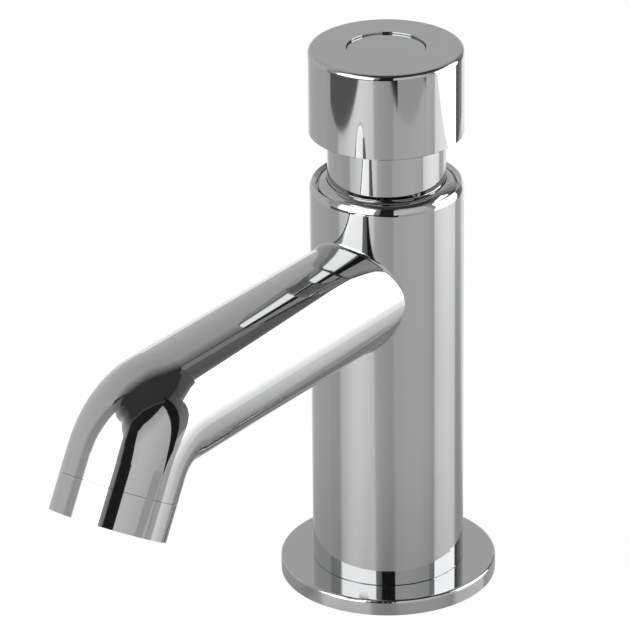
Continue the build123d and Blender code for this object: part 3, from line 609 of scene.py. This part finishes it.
def stage_piece(name, bm, material):
    """A panel that only the metal sees."""
    panel = make_object(name, bm, material)
    panel.visible_camera = False
    panel.visible_diffuse = False
    panel.visible_shadow = False
    panel.visible_transmission = False


def glow_material(name):
    """A panel whose light follows the glow of its own vertices."""
    material, tree, output = stage_shader(name)
    level = add_node(tree, "ShaderNodeAttribute", attribute_name="glow")
    glow = add_node(tree, "ShaderNodeEmission", {"Strength": level.outputs["Fac"]})
    tree.links.new(glow.outputs["Emission"], output.inputs["Surface"])
    return material


def make_room_patch(name, corners, material, reach):
    """A curved patch of the room: a grid stretched between its corners on a ball."""
    first, second, third, fourth = (Vector(corner) for corner in corners)
    bm = bmesh.new()
    wide = max(2, round(max((second - first).x, (third - fourth).x) / CELL_TURN))
    tall = max(2, round(max((fourth - first).y, (third - second).y) / CELL_RISE))
    bmesh.ops.create_grid(bm, x_segments=wide, y_segments=tall, size=0.5)
    glow = bm.verts.layers.float.new("glow")
    for vert in bm.verts:
        across, up = vert.co.x + 0.5, vert.co.y + 0.5
        turn, height, light = first.lerp(second, across).lerp(fourth.lerp(third, across), up)
        height = math.radians(height)
        vert[glow] = light
        vert.co = heading(turn, reach * math.cos(height), reach * math.sin(height))
    bmesh.ops.translate(bm, verts=bm.verts, vec=ROOM_MIDDLE)
    stage_piece(name, bm, material)


def make_near_panel(name, corners, brightness):
    """A panel between its corners."""
    bm = bmesh.new()
    bm.faces.new([bm.verts.new(heading(*corner)) for corner in corners])
    stage_piece(name, bm, panel_material(name, brightness))


def rays_of_metal(tree, paths):
    """One for rays that leave metal or glass, and nothing for the others."""
    return add_math(tree, "ADD", paths.outputs["Is Glossy Ray"], paths.outputs["Is Transmission Ray"])


def painted_pool_light(tree, values):
    """Pools of light painted round the tap's foot, with their rise and painted shade at the foot."""
    place = add_node(tree, "ShaderNodeTexCoord").outputs["Object"]
    middle = {"Vector": place, "Location": (0.0, values.pool_offset, 0.0)}
    centred = add_node(tree, "ShaderNodeMapping", middle)
    turned = {"Vector": centred.outputs["Vector"]}
    round_foot = add_node(tree, "ShaderNodeTexGradient", turned, gradient_type="RADIAL")
    pools = add_node(tree, "ShaderNodeValToRGB", {"Fac": round_foot.outputs["Fac"]})
    stops = sorted((((angle + 90.0) % 360.0) / 360.0, light) for angle, light in PAINTED_LIGHT_POOLS)
    while len(pools.color_ramp.elements) < len(stops):
        pools.color_ramp.elements.new(0.5)
    for element, (position, light) in zip(pools.color_ramp.elements, stops):
        element.position = position
        element.color = (light, light, light, 1.0)

    # Painted light: the pools grow lighter behind the tap
    along = {0: place, 1: heading(POOL_RISE_HEADING, 1.0)}
    towards = add_node(tree, "ShaderNodeVectorMath", along, operation="DOT_PRODUCT")
    rise = add_range(
        tree,
        towards.outputs["Value"],
        low=0.0,
        high=values.pool_rise,
        start=values.pool_rise_start,
        end=values.pool_rise_end,
        kind="SMOOTHSTEP",
    )
    lifted = add_node(tree, "ShaderNodeVectorMath", {0: pools.outputs["Color"], 1: rise}, operation="ADD")
    # Painted shade: the pools grow darker towards the tap's foot
    reach = add_node(tree, "ShaderNodeVectorMath", {0: place}, operation="LENGTH")
    painted_contact_shade = add_range(
        tree,
        reach.outputs["Value"],
        low=values.contact_shade_level,
        high=1.0,
        start=0.0,
        end=values.contact_shade_reach,
        kind="SMOOTHSTEP",
    )
    level = {0: lifted.outputs["Vector"], "Scale": painted_contact_shade}
    return add_node(tree, "ShaderNodeVectorMath", level, operation="SCALE").outputs["Vector"]


def floor_material(values):
    """Pale floor: white to the camera, painted pools of light and painted shade under a gloss to the metal.
    """
    material, tree, output = stage_shader("pale_floor")
    paths = add_node(tree, "ShaderNodeLightPath")
    metal = rays_of_metal(tree, paths)
    colours = {"Factor": metal, "A": WHITE, "B": painted_pool_light(tree, values)}
    seen = add_node(tree, "ShaderNodeMix", colours, data_type="RGBA")
    glow = add_node(tree, "ShaderNodeEmission", {"Color": seen.outputs["Result"]})
    fresnel = add_node(tree, "ShaderNodeFresnel", {"IOR": FLOOR_IOR})
    polish = add_math(tree, "MULTIPLY", fresnel.outputs["Fac"], values.floor_polish)
    capped = add_math(tree, "MINIMUM", polish, values.floor_polish_limit)
    gloss = {"Color": add_math(tree, "MULTIPLY", capped, metal), "Roughness": values.floor_roughness}
    mirrored = add_node(tree, "ShaderNodeBsdfAnisotropic", gloss)
    layers = {0: glow.outputs["Emission"], 1: mirrored.outputs["BSDF"]}
    shown = add_node(tree, "ShaderNodeAddShader", layers)
    matt = {"Base Color": (*values.floor_colour, 1.0), "Roughness": FLOOR_MATT}
    lit = add_node(tree, "ShaderNodeBsdfPrincipled", matt)
    watched = add_math(tree, "ADD", metal, paths.outputs["Is Camera Ray"])
    share = add_math(tree, "MULTIPLY", watched, values.floor_lift)
    parts = {0: share, 1: lit.outputs["BSDF"], 2: shown.outputs["Shader"]}
    mix = add_node(tree, "ShaderNodeMixShader", parts)
    tree.links.new(mix.outputs["Shader"], output.inputs["Surface"])
    return material


def make_floor(values):
    """A wide flat ring round the hole for the tail."""
    bm = bmesh.new()
    for radius in (values.floor_radius, values.hole_radius):
        bmesh.ops.create_circle(bm, cap_ends=False, segments=FLOOR_STEPS, radius=radius)
    bmesh.ops.bridge_loops(bm, edges=bm.edges[:])
    bmesh.ops.recalc_face_normals(bm, faces=bm.faces)
    bmesh.ops.reverse_faces(bm, faces=[face for face in bm.faces if face.normal.z < 0.0])
    floor = make_object("floor", bm, floor_material(values))


def make_room_light(scene, values):
    """Even light on the object, dimmer as the metal shows it, and white behind."""
    world = bpy.data.worlds.new("room")
    scene.world = world
    world.use_nodes = True
    tree = world.node_tree
    tree.nodes.clear()
    output = tree.nodes.new("ShaderNodeOutputWorld")
    paths = add_node(tree, "ShaderNodeLightPath")
    lit = values.room_light
    light = add_math(tree, "MULTIPLY_ADD", paths.outputs["Is Camera Ray"], 1.0 - lit, lit)
    level = add_math(tree, "MULTIPLY_ADD", rays_of_metal(tree, paths), values.room_mirrored - lit, light)
    back = add_node(tree, "ShaderNodeBackground", {"Strength": level})
    tree.links.new(back.outputs["Background"], output.inputs["Surface"])


def make_lamp(scene, values):
    """The main lamp, which the metal doesn't show."""
    lamp = bpy.data.lights.new("main_lamp", "AREA")
    lamp.energy = values.lamp_power
    lamp.size = values.lamp_size
    lamp_object = bpy.data.objects.new("main_lamp", lamp)
    lamp_object.location = values.lamp_place
    lamp_object.rotation_euler = Vector(values.lamp_aim).to_track_quat("-Z", "Y").to_euler()
    lamp_object.visible_glossy = False
    scene.collection.objects.link(lamp_object)


def make_camera(scene, values):
    """The camera of the reference view."""
    camera = bpy.data.cameras.new("photo_camera")
    camera.lens = values.lens
    camera.sensor_width = SENSOR_WIDTH
    camera.clip_start = CLIP_START
    camera.clip_end = CLIP_END
    camera_object = bpy.data.objects.new("photo_camera", camera)
    camera_object.location = values.camera_place
    axes = Matrix((CAMERA_ACROSS, -CAMERA_DOWN, -CAMERA_AHEAD))
    camera_object.rotation_euler = axes.transposed().to_euler()
    scene.collection.objects.link(camera_object)
    scene.camera = camera_object


class TAP_OT_set_stage(bpy.types.Operator):
    """Pale floor, room light, panels, lamp and camera"""

    bl_idname = "tap.set_stage"
    bl_label = "Set the stage"

    def execute(self, context):
        values = stage_values()
        scene = context.scene
        scene.view_settings.view_transform = "Standard"
        make_floor(values)
        make_room_light(scene, values)
        room = glow_material("room_patches")
        for layer, (name, corners) in enumerate(ROOM_PATCHES.items()):
            make_room_patch(name, corners, room, values.dome_radius - layer * LAYER_GAP)
        for name, (corners, brightness) in NEAR_PANELS.items():
            make_near_panel(name, corners, brightness)
        make_lamp(scene, values)
        make_camera(scene, values)
        return {"FINISHED"}


def new_material(name, metallic, roughness):
    """A material with its node tree and object coordinates."""
    material = bpy.data.materials.new(name)
    material.use_nodes = True
    tree = material.node_tree
    shader = tree.nodes["Principled BSDF"]
    shader.inputs["Metallic"].default_value = metallic
    shader.inputs["Roughness"].default_value = roughness
    return material, tree, add_node(tree, "ShaderNodeTexCoord").outputs["Object"]


def add_noise(tree, place, scale, detail, stretch=(1.0, 1.0, 1.0)):
    """A noise whose grain can be drawn out along an axis."""
    mapping = add_node(tree, "ShaderNodeMapping", {"Vector": place, "Scale": stretch})
    grain = {"Vector": mapping.outputs["Vector"], "Scale": scale, "Detail": detail}
    return add_node(tree, "ShaderNodeTexNoise", grain).outputs["Fac"]


def add_tones(tree, value, first, second):
    """Two colours mixed by a value."""
    tones = {"Factor": value, "A": (*first, 1.0), "B": (*second, 1.0)}
    return add_node(tree, "ShaderNodeMix", tones, data_type="RGBA").outputs["Result"]


def shade(colour, amount):
    """A colour made darker or lighter."""
    return tuple(channel * amount for channel in colour)


def finish(material, roughness, tones, relief, depth):
    """Gives a material's shader its roughness, tones and relief of a depth in metres."""
    tree = material.node_tree
    shader = tree.nodes["Principled BSDF"]
    bump = add_node(tree, "ShaderNodeBump", {"Height": relief, "Strength": 1.0, "Distance": depth})
    tree.links.new(roughness, shader.inputs["Roughness"])
    tree.links.new(tones, shader.inputs["Base Color"])
    tree.links.new(bump.outputs["Normal"], shader.inputs["Normal"])
    return material


def chrome_material():
    """Polished plate: an almost clean mirror with faint wiping marks and haze."""
    material, tree, place = new_material("polished_chrome", metallic=1.0, roughness=0.05)
    haze = add_noise(tree, place, scale=38.0, detail=4.0)
    wipes = add_noise(tree, place, scale=150.0, detail=2.0, stretch=(1.0, 1.0, 0.12))
    colour = finishes().chrome
    roughness = add_range(tree, haze, low=0.035, high=0.065, start=0.35, end=0.75)
    tones = add_tones(tree, haze, colour, shade(colour, 0.97))
    return finish(material, roughness, tones, wipes, depth=0.000002)


def brass_material():
    """Turned brass: fine rings from the tool and a little tarnish."""
    material, tree, place = new_material("turned_brass", metallic=1.0, roughness=0.3)
    rings = add_noise(tree, place, scale=900.0, detail=2.0, stretch=(0.04, 0.04, 6.0))
    tarnish = add_noise(tree, place, scale=90.0, detail=5.0)
    colour = finishes().brass
    tarnished = (colour[0] * 0.72, colour[1] * 0.64, colour[2] * 0.6)
    roughness = add_range(tree, tarnish, low=0.22, high=0.42)
    tones = add_tones(tree, add_range(tree, tarnish, low=0.0, high=1.0), colour, tarnished)
    return finish(material, roughness, tones, rings, depth=0.00002)


def steel_material():
    """Fine machined stainless steel."""
    material, tree, place = new_material("stainless_steel", metallic=1.0, roughness=0.25)
    grain = add_noise(tree, place, scale=1200.0, detail=2.0, stretch=(0.05, 0.05, 4.0))
    patches = add_noise(tree, place, scale=60.0, detail=3.0)
    colour = finishes().steel
    roughness = add_range(tree, patches, low=0.18, high=0.34)
    tones = add_tones(tree, patches, colour, shade(colour, 0.86))
    return finish(material, roughness, tones, grain, depth=0.00001)


def rubber_material():
    """Moulded rubber with a dusty bloom."""
    material, tree, place = new_material("black_rubber", metallic=0.0, roughness=0.6)
    skin = add_noise(tree, place, scale=2600.0, detail=3.0)
    bloom = add_noise(tree, place, scale=110.0, detail=4.0)
    colour = finishes().rubber
    roughness = add_range(tree, bloom, low=0.5, high=0.72)
    tones = add_tones(tree, add_range(tree, bloom, low=0.0, high=1.0), colour, shade(colour, 2.1))
    return finish(material, roughness, tones, skin, depth=0.00003)


def plastic_material():
    """Pale moulded plastic, a little waxy."""
    material, tree, place = new_material("pale_plastic", metallic=0.0, roughness=0.42)
    skin = add_noise(tree, place, scale=1500.0, detail=3.0)
    flow = add_noise(tree, place, scale=70.0, detail=3.0, stretch=(1.0, 1.0, 0.4))
    colour = finishes().plastic
    roughness = add_range(tree, flow, low=0.34, high=0.5)
    tones = add_tones(tree, flow, colour, shade(colour, 0.93))
    return finish(material, roughness, tones, skin, depth=0.000012)


def ready_brass():
    """The brass, made when it is first asked for."""
    return bpy.data.materials.get("turned_brass") or brass_material()


def ready_steel():
    """The steel, made when it is first asked for."""
    return bpy.data.materials.get("stainless_steel") or steel_material()


def give(nodes, material):
    """Puts one material on CAD nodes."""
    for name in nodes:
        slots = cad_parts[name].material_slots
        if not slots:
            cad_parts[name].data.materials.append(material)
        for slot in slots:
            slot.material = material


def stand_in(name, node, bm, material):
    """A finished piece that stands for a CAD node and rides on its body."""
    piece = make_object(name, bm, material)
    piece.data.shade_smooth()
    piece.data.set_sharp_from_angle(angle=math.radians(SHARP_ANGLE))
    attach(piece, "root")
    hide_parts(node)
    return piece


def spin_about_z(bm, geom, angle, steps, step_rise=0.0, merge=False):
    """Turns a line or a ring about Z, climbing at each step, and gives where it ends."""
    return bmesh.ops.spin(
        bm,
        geom=geom,
        cent=(0, 0, 0),
        axis=(0, 0, 1),
        dvec=(0, 0, step_rise),
        angle=angle,
        steps=steps,
        use_merge=merge,
    )["geom_last"]


def add_loop(bm, points):
    """A closed line through points of (radius, height)."""
    verts = [bm.verts.new((radius, 0.0, height)) for radius, height in points]
    return verts + [bm.edges.new(pair) for pair in zip(verts, verts[1:] + verts[:1])]


def add_wire_end(bm, sides, thickness, place):
    """A small ring across the way of a wire, with its edges."""
    ring = bmesh.ops.create_circle(
        bm,
        cap_ends=False,
        segments=sides,
        radius=thickness,
        matrix=Matrix.Translation(place) @ Matrix.Rotation(math.pi / 2, 4, "X"),
    )["verts"]
    return ring + list(dict.fromkeys(edge for vert in ring for edge in vert.link_edges))


def close_seam(bm):
    """Merges the seam of a full turn and points the faces outwards."""
    bmesh.ops.remove_doubles(bm, verts=bm.verts, dist=WELD_DISTANCE)
    bmesh.ops.recalc_face_normals(bm, faces=bm.faces)


def close_ends(bm, sides):
    """Closes the open ends of a wound shape."""
    bmesh.ops.holes_fill(bm, edges=[edge for edge in bm.edges if edge.is_boundary], sides=sides)


def pull_in(vert, limit):
    """Brings a vertex in to a distance from the axis."""
    reach = math.hypot(vert.co.x, vert.co.y)
    if reach > limit:
        vert.co.x *= limit / reach
        vert.co.y *= limit / reach


class TAP_OT_cut_tail_thread(bpy.types.Operator):
    """Brass tail with its real pipe thread, chamfered at the nose"""

    bl_idname = "tap.cut_tail_thread"
    bl_label = "Cut the tail's thread"

    def execute(self, context):
        values = sizes()
        crest = values.thread_radius
        core = crest - values.thread_depth
        bore = values.tail_bore
        low, high = tail_low.z, tail_high.z
        head = tail_high.x
        foot = values.head_foot
        skin = 0.0003
        nose_height = 0.0004
        groove = head - values.groove_depth
        seat = bore + values.seat_step
        profile = (
            (bore, low),
            (core - skin, low),
            (core, low + nose_height),
            (core, foot),
            (head, foot),
            (head, high - values.groove_low),
            (groove, high - values.groove_low),
            (groove, high - values.groove_high),
            (head, high - values.groove_high),
            (head, high),
            (seat, high),
            (seat, high - values.seat_depth),
            (bore, high - values.seat_depth),
        )
        bm = bmesh.new()
        spin_about_z(bm, add_loop(bm, profile), math.tau, TAIL_STEPS, merge=True)
        close_seam(bm)
        self.wind_ridge(bm, core, crest, low, foot)

        nose_chamfer = 0.001
        relief_edge = 0.0003
        relief_slope = 0.5
        for vert in bm.verts:
            reach = math.hypot(vert.co.x, vert.co.y)
            height = vert.co.z
            if reach < core - skin or (height > foot and reach > crest):
                continue
            limit = min(crest, crest - nose_chamfer + max(height - low, 0.0))
            if values.relief_low - relief_edge < height < values.relief_high + relief_edge:
                inside = min(height - values.relief_low, values.relief_high - height)
                limit = min(limit, core - max(inside, -relief_edge) * relief_slope)
            pull_in(vert, limit)
            vert.co.z = min(max(height, low), high)
        bmesh.ops.recalc_face_normals(bm, faces=bm.faces)
        stand_in("tail_with_thread", "threaded_tail", bm, ready_brass())
        return {"FINISHED"}

    def wind_ridge(self, bm, core, crest, low, foot):
        """The thread's ridge, wound from below the nose to just inside the head."""
        pitch = sizes().thread_pitch
        run_in = 0.4
        run_over = 0.6
        sunk = core - 0.0002
        flank = core + 0.0001
        shoulder = crest - 0.00014
        start = low - pitch * run_in
        # Radius, and height as a share of the pitch
        ridge = (
            (sunk, -0.50),
            (flank, -0.46),
            (shoulder, -0.12),
            (crest, -0.05),
            (crest, 0.05),
            (shoulder, 0.12),
            (flank, 0.46),
            (sunk, 0.50),
        )
        steps = round(((foot - low) / pitch + run_over) * THREAD_STEPS)
        line = add_loop(bm, [(radius, start + share * pitch) for radius, share in ridge])
        spin_about_z(bm, line, math.tau * steps / THREAD_STEPS, steps, step_rise=pitch / THREAD_STEPS)
        close_ends(bm, sides=len(ridge))


class TAP_OT_form_back_nut(bpy.types.Operator):
    """Hexagon nut with chamfered corners"""

    bl_idname = "tap.form_back_nut"
    bl_label = "Form the back nut"

    def execute(self, context):
        thread_gap = 0.0001
        chamfer_angle = 30.0
        chamfer_start = 0.975
        chamfer_rows = 8
        mouth = 0.0006
        flat = nut_high.y
        corner = nut_high.x
        low, high = nut_low.z, nut_high.z
        bore = sizes().thread_radius + thread_gap
        inner = flat * chamfer_start
        drop = (corner - inner) * math.tan(math.radians(chamfer_angle))
        shares = [row / chamfer_rows for row in range(chamfer_rows + 1)]
        side = [(inner + (corner - inner) * share, low + drop * share) for share in shares]
        up = [(radius, low + high - height) for radius, height in reversed(side)]
        foot_mouth = [(bore, low + mouth), (bore + mouth, low)]
        top_mouth = [(bore + mouth, high), (bore, high - mouth)]
        bm = bmesh.new()
        profile = [*foot_mouth, *side, *up, *top_mouth]
        spin_about_z(bm, add_loop(bm, profile), math.tau, NUT_STEPS, merge=True)
        close_seam(bm)

        sixth = math.tau / 6
        tolerance = 0.00001
        for vert in bm.verts:
            if math.hypot(vert.co.x, vert.co.y) < inner - tolerance:
                continue
            angle = math.atan2(vert.co.y, vert.co.x) % sixth - sixth / 2
            pull_in(vert, flat / math.cos(angle))
        bmesh.ops.recalc_face_normals(bm, faces=bm.faces)
        stand_in("hexagon_back_nut", "back_nut", bm, ready_brass())
        return {"FINISHED"}


class TAP_OT_wind_spring(bpy.types.Operator):
    """Return spring wound with one closed turn at each end"""

    bl_idname = "tap.wind_spring"
    bl_label = "Wind the return spring"

    def execute(self, context):
        values = sizes()
        wire = values.wire_radius
        wire_sides = 14
        rise = spring_high.z - spring_low.z - 2 * wire
        end_pitch = values.spring_end_pitch
        open_turns = values.spring_open_turns
        open_pitch = (rise - 2 * end_pitch) / open_turns
        bm = bmesh.new()
        geom = add_wire_end(bm, wire_sides, wire, (spring_high.x - wire, 0.0, spring_low.z + wire))
        for turns, pitch in ((1.0, end_pitch), (open_turns, open_pitch), (1.0, end_pitch)):
            steps = round(turns * SPRING_STEPS)
            geom = spin_about_z(bm, geom, math.tau * turns, steps, step_rise=pitch / SPRING_STEPS)
        close_ends(bm, sides=wire_sides)
        bmesh.ops.recalc_face_normals(bm, faces=bm.faces)
        piece = stand_in("wound_return_spring", "return_spring", bm, ready_steel())
        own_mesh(piece)
        return {"FINISHED"}


class TAP_OT_weave_screen(bpy.types.Operator):
    """Fine wire screen with a pressed rim in the nozzle's mouth"""

    bl_idname = "tap.weave_screen"
    bl_label = "Weave the aerator's screen"

    def execute(self, context):
        values = sizes()
        radius = values.screen_radius
        rim = 0.00018
        rim_sides = 10
        rim_gap = 0.0002
        wire = 0.00017
        cells = 36
        bm = bmesh.new()
        bmesh.ops.create_grid(bm, x_segments=cells, y_segments=cells, size=radius)
        outside = [vert for vert in bm.verts if vert.co.length > radius - rim_gap]
        bmesh.ops.delete(bm, geom=outside, context="VERTS")
        bmesh.ops.wireframe(
            bm, faces=bm.faces[:], thickness=wire, use_boundary=True, use_even_offset=True, use_replace=True
        )
        ring = add_wire_end(bm, rim_sides, rim, (radius - rim, 0.0, 0.0))
        spin_about_z(bm, ring, math.tau, RIM_STEPS, merge=True)
        close_seam(bm)
        middle = (screen_low + screen_high) / 2
        seated = Matrix.Translation(middle) @ Matrix.Rotation(values.outlet_tilt, 4, "X")
        bmesh.ops.transform(bm, matrix=seated, verts=bm.verts)
        stand_in("woven_aerator_screen", "aerator_screen", bm, ready_steel())
        return {"FINISHED"}


class TAP_OT_finish_plated_pieces(bpy.types.Operator):
    """Chrome on the body, flange, collar, button and nozzle"""

    bl_idname = "tap.finish_plated_pieces"
    bl_label = "Finish the plated pieces"

    def execute(self, context):
        give(CHROME_NODES, chrome_material())
        return {"FINISHED"}


class TAP_OT_finish_inner_pieces(bpy.types.Operator):
    """Brass, steel, rubber and plastic on the pieces inside and under the deck"""

    bl_idname = "tap.finish_inner_pieces"
    bl_label = "Finish the inner pieces"

    def execute(self, context):
        give(BRASS_NODES, brass_material())
        give(STEEL_NODES, steel_material())
        give(RUBBER_NODES, rubber_material())
        give(PLASTIC_NODES, plastic_material())
        return {"FINISHED"}


class TAP_PT_panel(bpy.types.Panel):
    """Lists the operators that build the tap and its stage"""

    bl_label = "Push timed tap"
    bl_idname = "TAP_PT_panel"
    bl_space_type = "VIEW_3D"
    bl_region_type = "UI"
    bl_category = "Tap"

    def draw(self, context):
        for operator in OPERATORS:
            self.layout.operator(operator.bl_idname)


GROUPS = (TapSizes, TapFinishes, TapStage)
OPERATORS = (
    TAP_OT_set_stage,
    TAP_OT_finish_plated_pieces,
    TAP_OT_finish_inner_pieces,
    TAP_OT_cut_tail_thread,
    TAP_OT_form_back_nut,
    TAP_OT_wind_spring,
    TAP_OT_weave_screen,
)
CLASSES = (*GROUPS, *OPERATORS, TAP_PT_panel)


def register():
    for item in CLASSES:
        bpy.utils.register_class(item)
    bpy.types.Scene.tap_sizes = PointerProperty(type=TapSizes)
    bpy.types.Scene.tap_finishes = PointerProperty(type=TapFinishes)
    bpy.types.Scene.tap_stage = PointerProperty(type=TapStage)


def unregister():
    del bpy.types.Scene.tap_sizes
    del bpy.types.Scene.tap_finishes
    del bpy.types.Scene.tap_stage
    for item in reversed(CLASSES):
        bpy.utils.unregister_class(item)


def main():
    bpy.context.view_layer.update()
    register()
    bpy.ops.tap.set_stage()
    bpy.ops.tap.finish_plated_pieces()
    bpy.ops.tap.finish_inner_pieces()
    bpy.ops.tap.cut_tail_thread()
    bpy.ops.tap.form_back_nut()
    bpy.ops.tap.wind_spring()
    bpy.ops.tap.weave_screen()


if __name__ == "__main__":
    main()
